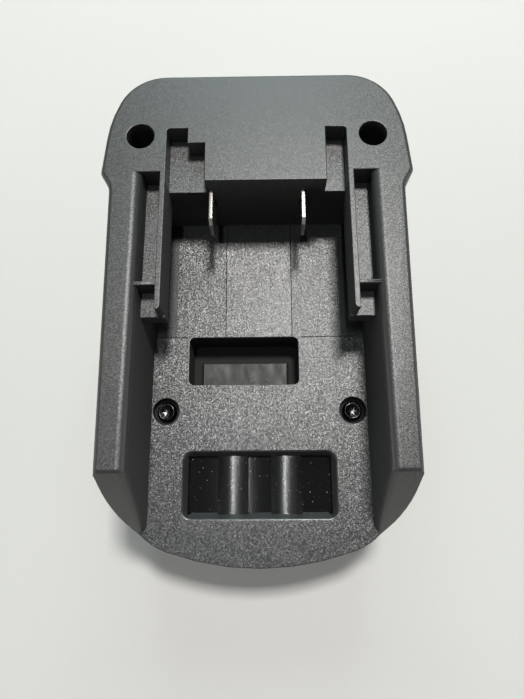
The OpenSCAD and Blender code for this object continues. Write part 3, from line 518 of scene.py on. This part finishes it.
# %% Clean copies
WELD = 2e-6
SHARP, FLAT = math.radians(50), math.radians(0.7)
OFF_THE_EDGE = 0.12 * MM
UP_AND_ROUND = [Vector(v).normalized() for v in (
    (0, 0, 1), (1, 0, 0.2), (-1, 0, 0.2), (0, 1, 0.2), (0, -1, 0.3), (0, -0.35, 1), (0, 0.2, 1))]
DOWN_AND_ROUND = [Vector((v.x, v.y, -v.z)) for v in UP_AND_ROUND]
ALL_ROUND = UP_AND_ROUND + DOWN_AND_ROUND


def joined_faces(node):
    """A bmesh of a CAD node whose flat triangles are joined."""
    bm = bmesh.new()
    bm.from_mesh(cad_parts[node].data)
    bmesh.ops.remove_doubles(bm, verts=bm.verts, dist=WELD)
    bmesh.ops.dissolve_limit(bm, angle_limit=FLAT, verts=bm.verts, edges=bm.edges)
    bm.normal_update()
    return bm


def outer_edges(bm, ways, sharp=SHARP, pick=None):
    """Sharp outer edges from which a line along one of the ways gets clear of the solid."""
    tree = BVHTree.FromBMesh(bm)
    found = []
    for e in bm.edges:
        if not e.is_manifold or e.calc_face_angle_signed(0) < sharp or (pick and not pick(e)):
            continue
        out = (e.link_faces[0].normal + e.link_faces[1].normal).normalized()
        start = (e.verts[0].co + e.verts[1].co) / 2 + out * OFF_THE_EDGE
        if any(tree.ray_cast(start, way)[0] is None for way in ways):
            found.append(e)
    return found


print("ways out of the part", len(ALL_ROUND))

# %% [markdown]
# ## Rounding chain by chain
# A bevel can fold a large face over itself where two edges come close. One bevel of the whole part
# would have to be as narrow as its tightest corner allows. So each chain of edges is tried on a
# spare copy first, and gets a narrower bevel where part of a face would be turned over.

# %% Rounding
WIDTH_SHARES = (1, 0.8, 0.6, 0.48, 0.35)
FOLD_LIMIT = 0.05 * MM * MM
TURNED_OVER = 0.5
KEY_DIGITS = 7


def mark(edge):
    """Where an edge is, as a key that holds on a copy too."""
    return frozenset(tuple(round(c, KEY_DIGITS) for c in v.co) for v in edge.verts)


def chains(edges):
    """Groups of edges that share vertices, as lists of keys."""
    left, groups = set(edges), []
    for first in edges:
        if first not in left:
            continue
        left.discard(first)
        group, todo = [], [first]
        while todo:
            e = todo.pop()
            group.append(mark(e))
            for v in e.verts:
                for other in v.link_edges:
                    if other in left:
                        left.discard(other)
                        todo.append(other)
        groups.append(group)
    return groups


def folded_area(bm):
    """Area of the drawn triangles that lie face down in their own face, in square metres."""
    spare = bpy.data.meshes.new("spare")
    bm.to_mesh(spare)
    spare.calc_loop_triangles()
    folded = sum(t.area for t in spare.loop_triangles
                 if t.normal.dot(spare.polygons[t.polygon_index].normal) < TURNED_OVER)
    bpy.data.meshes.remove(spare)
    return folded


def round_edges(bm, edges, width, segments=2):
    """Bevels each chain to the widest share of a width in mm, or of width(middle), with no fold."""
    skipped = 0
    for group in chains(edges):
        keys = set(group)
        middle = sum((Vector(c) for key in group for c in key), Vector()) / (2 * len(group))
        full = (width(middle) if callable(width) else width) * MM
        before = folded_area(bm)
        for share in WIDTH_SHARES:
            trial = bm.copy()
            picked = [e for e in trial.edges if mark(e) in keys]
            bmesh.ops.bevel(trial, geom=picked, offset=full * share, offset_type="OFFSET",
                            segments=segments, profile=0.5, affect="EDGES",
                            clamp_overlap=False, loop_slide=True)
            if folded_area(trial) - before < FOLD_LIMIT:
                bm.free()
                bm = trial
                break
            trial.free()
        else:
            skipped += 1
    bm.normal_update()
    print("  chains left sharp:", skipped)
    return bm


def rounded_copy(node, ways, width):
    """A clean copy of a CAD node with its edges in reach rounded."""
    solid = joined_faces(node)
    return round_edges(solid, outer_edges(solid, ways), width)


print("bevel shares", WIDTH_SHARES)

# %% [markdown]
# ## From mesh to piece
# Every piece is shaded smooth with its true edges kept sharp. Weighted normals let the large faces
# stay flat beside their narrow bevels, which plain smoothing would puff up. The piece then rides on
# its body, takes its material slot and stands for its CAD node.

# %% From mesh to piece
KEEP_SHARP = math.radians(38)


def finished(name, bm, finish, body, node=None, crease=None):
    """Makes the object of a bmesh, with its finish, body, slot and the CAD node it stands for."""
    mesh = bpy.data.meshes.new(name)
    bm.to_mesh(mesh)
    bm.free()
    stale = mesh.attributes.get("custom_normal")
    if stale:
        mesh.attributes.remove(stale)
    mesh.polygons.foreach_set("use_smooth", [True] * len(mesh.polygons))
    mesh.set_sharp_from_angle(angle=KEEP_SHARP)
    for edge in mesh.edges if crease else ():
        if all(crease(mesh.vertices[i].co / MM) for i in edge.vertices):
            edge.use_edge_sharp = True
    piece = bpy.data.objects.new(name, mesh)
    bpy.context.collection.objects.link(piece)
    weights = piece.modifiers.new("flat_faces", "WEIGHTED_NORMAL")
    weights.keep_sharp = True
    mesh.materials.append(finish.material)
    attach(piece, body)
    if node:
        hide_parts(node)
    print("%-22s %6d faces" % (name, len(mesh.polygons)))
    return piece


print("pieces keep edges over %.0f degrees sharp" % math.degrees(KEEP_SHARP))

# %% [markdown]
# ## Battery-side shell
# This is the piece that the photograph is about. Its outer rim and the inner edges of its walls are
# round in the CAD model already. The scene adds the rest: a soft edge where the rim turns down the
# sloped wall ends, and a fine break on the edges of the slot, the pockets, the rails and the holes.
# The feet of the ridges stay sharp, because smoothing would bend the polish beside them.

# %% Battery-side shell
SLOPE_TOP_Y, SLOPE_TOP_Z = -38.0, 53.0
SLOPE_ACROSS, SLOPE_FORWARD, SLOPE_UPWARD = 0.02, -0.7, 0.4
TURNED_DOWN, STILL_LEVEL = -0.35, -0.2
SLOPE_TOP_EDGE, SLOPE_EDGE, SLOPE_SHARP, SLOPE_SEGMENTS = 0.7, 0.8, math.radians(20), 3
POCKET_EDGE, FINE_EDGE = 0.45, 0.3
IN_FLOOR_Z, POCKETS_HALF = 29.2, 20.0
FOOT_UP, FOOT_ASIDE = 0.1, 0.3


def on_slope(edge):
    """Is this edge on the border of a sloped wall end?"""
    return any(abs(f.normal.x) < SLOPE_ACROSS and f.normal.y < SLOPE_FORWARD
               and f.normal.z > SLOPE_UPWARD for f in edge.link_faces)


def slope_top(edge):
    """Is this edge where the rim and its rounded inner edge turn down a sloped wall end?"""
    leans = sorted(f.normal.y for f in edge.link_faces)
    at_top = all(v.co.z > SLOPE_TOP_Z * MM and v.co.y < SLOPE_TOP_Y * MM for v in edge.verts)
    return at_top and leans[0] < TURNED_DOWN and leans[-1] > STILL_LEVEL


def slot_break(middle):
    """Width of the rounding in mm: the pockets in the floor have the softest edges."""
    in_floor = middle.z < IN_FLOOR_Z * MM and middle.y < 0.0
    return POCKET_EDGE if in_floor and abs(middle.x) < POCKETS_HALF * MM else FINE_EDGE


def ridge_foot(at):
    """Is this point, in mm, on the line where a ridge rises from the recess floor?"""
    from_foot = abs(abs(abs(at.x) - RIDGE_X) - RIDGE_HALF)
    return abs(at.z - RECESS_Z) < FOOT_UP and from_foot < FOOT_ASIDE


shell = joined_faces("battery_side_housing")
for pick, width in ((slope_top, SLOPE_TOP_EDGE), (on_slope, SLOPE_EDGE)):
    borders = outer_edges(shell, UP_AND_ROUND, SLOPE_SHARP, pick)
    shell = round_edges(shell, borders, width, SLOPE_SEGMENTS)
shell = round_edges(shell, outer_edges(shell, UP_AND_ROUND), slot_break)
finished("slot_shell", shell, shell_skin, "body", "battery_side_housing",
         ridge_foot)

# %% [markdown]
# ## Tool-side shell
# The lower shell closes the housing and carries the slide-in head. It was moulded the same way, so
# it gets the same fine break on every edge that can be reached from outside.

# %% Tool-side shell
head = rounded_copy("tool_side_housing", DOWN_AND_ROUND, FINE_EDGE)
finished("head_shell", head, head_skin, "body", "tool_side_housing")

# %% [markdown]
# ## Release latch
# Tongue, plate and thumb face are one moulding that slides up under the thumb. It is the one piece
# that moves, so it rides on its own body.

# %% Release latch
LATCH_EDGE = 0.35
latch = rounded_copy("release_latch", ALL_ROUND, LATCH_EDGE)
finished("latch", latch, latch_skin, "latch", "release_latch")

# %% [markdown]
# ## Blades, forks and their holders
# Stamped metal has a small burr-free radius, and the two holders are plain mouldings. All of them
# keep their CAD form with a finer break.

# %% Blades, forks and holders
BLADE_EDGE, FORK_EDGE, HOLDER_EDGE = 0.14, 0.1, 0.25
for node, finish, slot, width in (
        ("positive_blade", nickel, "nickel_plate", BLADE_EDGE),
        ("negative_blade", nickel, "nickel_plate", BLADE_EDGE),
        ("positive_receptacle", copper, "contact_copper", FORK_EDGE),
        ("negative_receptacle", copper, "contact_copper", FORK_EDGE),
        ("blade_holder", holder_skin, "holder_plastic", HOLDER_EDGE),
        ("receptacle_block", holder_skin, "holder_plastic", HOLDER_EDGE)):
    solid = rounded_copy(node, ALL_ROUND, width)
    finished(node + "_dressed", solid, finish, "body", node)

# %% [markdown]
# ## Stacks of rings
# Screws, sleeves, springs and wires are all rings of points that follow each other. Blender's screw
# and skin modifiers could turn or sweep them, but a plain loop that joins ring to ring makes every
# one of them, and rings with the same number of points join up without thought.

# %% Stacks of rings
RING = 72


def joined_loops(bm, loops, cap=True):
    """Faces from loop to loop, and over the first and the last where cap is true."""
    for low, high in zip(loops, loops[1:]):
        for k in range(len(low)):
            n = (k + 1) % len(low)
            bm.faces.new((low[k], low[n], high[n], high[k]))
    if cap:
        bm.faces.new(list(reversed(loops[0])))
        bm.faces.new(loops[-1])


def stack(bm, rings, turn, cap=True):
    """Joins rings of points, each (radius or list of radii, height), placed by a matrix."""
    loops = []
    for radius, height in rings:
        radii = radius if isinstance(radius, list) else [radius] * RING
        loops.append([bm.verts.new(turn @ Vector((r * math.cos(2 * math.pi * k / RING),
                                                  r * math.sin(2 * math.pi * k / RING), height)))
                      for k, r in enumerate(radii)])
    joined_loops(bm, loops, cap)


def in_mm(at, turn):
    """A matrix that turns a piece about X, reads it in mm and puts it at a point in mm."""
    return Matrix.Translation(Vector(at) * MM) @ Matrix.Scale(MM, 4) @ Matrix.Rotation(turn, 4, "X")


print("points in a ring", RING)

# %% [markdown]
# ## Screws
# The drive of a screw head is a six-lobed star, which a turned profile can't give. So each screw is
# a stack of rings: round ones for the shank and the head, and lobed ones down into the drive. The
# head's crest is a narrow round ring, which catches the lamp as the photograph shows.

# %% Screws
LOBES, LOBE_POWER, STAR_SHARE = 6, 0.8, 0.50
SHANK_TIP = ((0.55, 0.0), (0.95, 0.5), (1.0, 0.7))  # radius and height, in shank radii
NECK = 0.02
HEAD_PROFILE = (  # radius and height, in shares of the head's own
    (0.97, 0.0), (1.0, 0.05), (1.0, 0.30), (0.985, 0.42), (0.94, 0.60), (0.88, 0.77),
    (0.835, 0.89), (0.80, 0.95), (0.775, 0.985), (0.75, 1.0), (0.73, 1.0), (0.705, 0.985),
    (0.68, 0.955), (0.65, 0.92))
DRIVE_PROFILE = (  # lobe radius in shares of the star's, inner share of it, height share
    (1.10, 0.82, 0.90), (1.0, 0.78, 0.84), (0.95, 0.78, 0.40), (0.6, 0.9, 0.34))
DRIVE_END_R, DRIVE_END = 0.08, 0.30


def lobed(radius, share):
    """Radius at each step round a six-lobed star, from its lobes in to a share of them."""
    waves = [0.5 - 0.5 * math.cos(LOBES * 2 * math.pi * k / RING) for k in range(RING)]
    return [radius * (1 - (1 - share) * wave ** LOBE_POWER) for wave in waves]


def add_screw(bm, at, radius, length, head_r, head_h, up):
    """One pan-head screw with its seat at a point, in mm, and its head up or down."""
    rings = [(radius * r, -length + radius * h) for r, h in SHANK_TIP] + [(radius, -NECK)]
    rings += [(head_r * r, head_h * h) for r, h in HEAD_PROFILE]
    rings += [(lobed(head_r * STAR_SHARE * r, share), head_h * h) for r, share, h in DRIVE_PROFILE]
    rings += [(DRIVE_END_R, head_h * DRIVE_END)]
    stack(bm, rings, in_mm(at, 0 if up > 0 else math.pi))


def screws(name, places, sizes, finish, node):
    """A piece of several equal screws, each at a (point, up or down) place."""
    bm = bmesh.new()
    for at, up in places:
        add_screw(bm, at, *sizes, up)
    bmesh.ops.recalc_face_normals(bm, faces=bm.faces)
    finished(name, bm, finish, "body", node)


def pair(x, y, z, up=1):
    """Places on both sides of the middle."""
    return [((side * x, y, z), up) for side in (-1, 1)]


HOUSING_SCREW = (1.5, 8.0, 2.8, 2.0)  # shank radius and length, head radius and height
TERMINAL_SCREW = (1.1, 8.0, 2.0, 1.4)
FRONT_SEAT_Z = 26.4
REAR_SEAT = (30.7, 45.9, 31.4)
HOLDER_SEAT, BLOCK_SEAT = (5.49, 38.0, 41.5), (5.4, 32.3, 11.4)
screws("front_screw_pair", pair(SCREW_X, SCREW_Y, FRONT_SEAT_Z), HOUSING_SCREW,
       black_steel, "front_screws")
screws("rear_screw_pair", pair(*REAR_SEAT), HOUSING_SCREW,
       black_steel, "rear_screws")
screws("terminal_screw_set", pair(*HOLDER_SEAT, -1) + pair(*BLOCK_SEAT), TERMINAL_SCREW,
       zinc, "terminal_screws")

# %% [markdown]
# ## Latch springs
# A compression spring has closed ends: its last turn lies flat, so that it stands straight. The
# wire is swept along a helix whose climb is slow at both ends. At the latch's limit the spring is
# pressed together; here each spring is built at one fixed length. The springs stand right under
# the two ridges of the recess.

# %% Latch springs
SPRING_TURNS, SPRING_R, WIRE_R, WIRE_SIDES, PER_TURN = 5.5, 2.6, 0.3, 10, 30
SPRING_LOW, SPRING_HIGH, SPRING_Y, TUB_Z = 15.1, 23.5, -43.7, 23.6
FLAT_TURNS, FLAT_RISE = 0.9, 2.2
SPRING_RISE = SPRING_HIGH - SPRING_LOW - 2 * WIRE_R


def sweep(bm, points, radius, sides):
    """A round tube along points, in mm, with closed ends."""
    loops, side = [], None
    for i, p in enumerate(points):
        ahead = (points[min(i + 1, len(points) - 1)] - points[max(i - 1, 0)]).normalized()
        side = ahead.orthogonal() if side is None else side - ahead * side.dot(ahead)
        side.normalize()
        other = ahead.cross(side)
        turns = [2 * math.pi * k / sides for k in range(sides)]
        loops.append([bm.verts.new((p + (side * math.cos(a) + other * math.sin(a)) * radius) * MM)
                      for a in turns])
    joined_loops(bm, loops)


def climb(t):
    """Height share of the helix at a share of its turns: flat end turns, even in between."""
    flat, slow = FLAT_TURNS / SPRING_TURNS, FLAT_RISE * WIRE_R / SPRING_RISE
    if t < flat:
        return slow * t / flat
    if t > 1 - flat:
        return 1 - slow * (1 - t) / flat
    return slow + (1 - 2 * slow) * (t - flat) / (1 - 2 * flat)


for side, node in ((-1, "left_latch_spring"), (1, "right_latch_spring")):
    steps = int(SPRING_TURNS * PER_TURN)
    axis = Vector((side * RIDGE_X, SPRING_Y, 0))
    helix = []
    for i in range(steps + 1):
        a = 2 * math.pi * i / PER_TURN
        z = SPRING_LOW + WIRE_R + SPRING_RISE * climb(i / steps)
        helix.append(axis + Vector((SPRING_R * math.cos(a), SPRING_R * math.sin(a), z)))
    coil = bmesh.new()
    sweep(coil, helix, WIRE_R, WIRE_SIDES)
    bmesh.ops.recalc_face_normals(coil, faces=coil.faces)
    spring = finished(node + "_coil", coil, wire_steel, "body", node)
    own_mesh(spring)

# %% [markdown]
# ## Leads and sleeves
# Two insulated wires run from the blades' tabs down behind the holder to the forks. They follow the
# CAD route, a smooth curve through a few points, with more sides so that they look round. A shrink
# sleeve covers each joint: a thin tube that has drawn in at both ends.

# %% Leads and sleeves
TAB = Vector((12.2, 48.0, 42.3))
FORK = Vector((13.5, 37.25, 14.4))
ROUTE = [TAB + Vector((0, d, 0)) for d in (0.5, 2.5, 4.5)] + [Vector(p) for p in (
    (12.4, 58.5, 38.3), (12.6, 59.9, 32.65), (12.8, 57.9, 26.5), (13.2, 50.5, 23.0),
    (13.5, 41.4, 19.5))] + [FORK + Vector((0, 0, d)) for d in (3.0, 0.5)]
LEAD_R, LEAD_SIDES, LEAD_STEPS = 1.6, 20, 10
SLEEVE_OUT, SLEEVE_IN, SLEEVE_Y, SLEEVE_LENGTH, SLEEVE_WELD = 2.35, 1.75, 43.0, 7.5, 1e-7
SLEEVE_PROFILE = (  # how far the tube has drawn in, and where along it
    (0.25, 0.0), (0.08, 0.15), (0.0, 0.9), (0.05, 3.0), (0.12, 4.8), (0.04, 6.4), (0.1, 7.35),
    (0.3, SLEEVE_LENGTH))


def smooth_run(stops):
    """Points of an even curve through stops."""
    run = [TAB]
    last = len(stops) - 1
    for i in range(last):
        a, b, c, d = stops[max(i - 1, 0)], stops[i], stops[i + 1], stops[min(i + 2, last)]
        for k in range(LEAD_STEPS + (i == last - 1)):
            t = k / LEAD_STEPS
            run.append((2 * b + (c - a) * t + (2 * a - 5 * b + 4 * c - d) * t * t
                        + (3 * b - a - 3 * c + d) * t ** 3) / 2)
    return run + [FORK]


for side, word, finish, slot in ((-1, "positive", red_skin, "red_insulation"),
                                 (1, "negative", black_skin, "black_insulation")):
    wire = bmesh.new()
    sweep(wire, [Vector((p.x * side, p.y, p.z)) for p in smooth_run(ROUTE)], LEAD_R, LEAD_SIDES)
    bmesh.ops.recalc_face_normals(wire, faces=wire.faces)
    finished(word + "_lead_wire", wire, finish, "body", word + "_lead")
    tube = bmesh.new()
    rings = [(SLEEVE_IN, 0.0)] + [(SLEEVE_OUT - drawn, y) for drawn, y in SLEEVE_PROFILE]
    rings += [(SLEEVE_IN, SLEEVE_LENGTH), (SLEEVE_IN, 0.0)]
    stack(tube, rings, in_mm((side * TAB.x, SLEEVE_Y, TAB.z), -math.pi / 2), cap=False)
    bmesh.ops.remove_doubles(tube, verts=tube.verts, dist=SLEEVE_WELD)
    bmesh.ops.recalc_face_normals(tube, faces=tube.faces)
    finished(word + "_sleeve_shrunk", tube, finish, "body", word + "_sleeve")

# %% [markdown]
# ## Witness lines
# Where two steel blocks of the mould meet, the floor keeps a hair-fine line. On this floor they run
# from the back wall along the middle insert, and across it beside the catch pocket. A dark stripe
# in the material would do from afar, but a line of its own shape catches the light as well. Each is
# a low bar with sloping sides, sunk into the floor with its foot, and its finish is painted near
# black as the shade along the seam.

# %% Witness lines
LINE_HALF, LINE_HIGH, LINE_FOOT = 0.12, 0.025, 0.1
LINE_PROFILE = ((-1.0, -LINE_FOOT), (1.0, -LINE_FOOT), (1.0, 0.0), (0.5, LINE_HIGH),
                (-0.5, LINE_HIGH), (-1.0, 0.0))
WALL_GAP, CROSSING_GAP = 0.1, 0.3
LEFT_LINE_END, RIGHT_LINE_END = -20.4, 11.8


def bar(bm, a, b):
    """A low bar along the floor between two points, in mm."""
    a, b = Vector((*a, FLOOR_Z)), Vector((*b, FLOOR_Z))
    across = Vector((-(b - a).y, (b - a).x, 0)).normalized() * LINE_HALF
    up = Vector((0, 0, 1))
    joined_loops(bm, [[bm.verts.new((p + across * u + up * h) * MM) for u, h in LINE_PROFILE]
                      for p in (a, b)])


lines = bmesh.new()
for x in (-INSERT_HALF, INSERT_HALF):
    bar(lines, (x, INSERT_NEAR_Y + CROSSING_GAP), (x, BACK_WALL_Y - WALL_GAP))
bar(lines, (-SLOT_HALF + WALL_GAP, INSERT_NEAR_Y), (LEFT_LINE_END, INSERT_NEAR_Y))
bar(lines, (RIGHT_LINE_END, INSERT_NEAR_Y), (SLOT_HALF - WALL_GAP, INSERT_NEAR_Y))
bmesh.ops.recalc_face_normals(lines, faces=lines.faces)
finished("witness_lines", lines, line_shade_skin, "body")
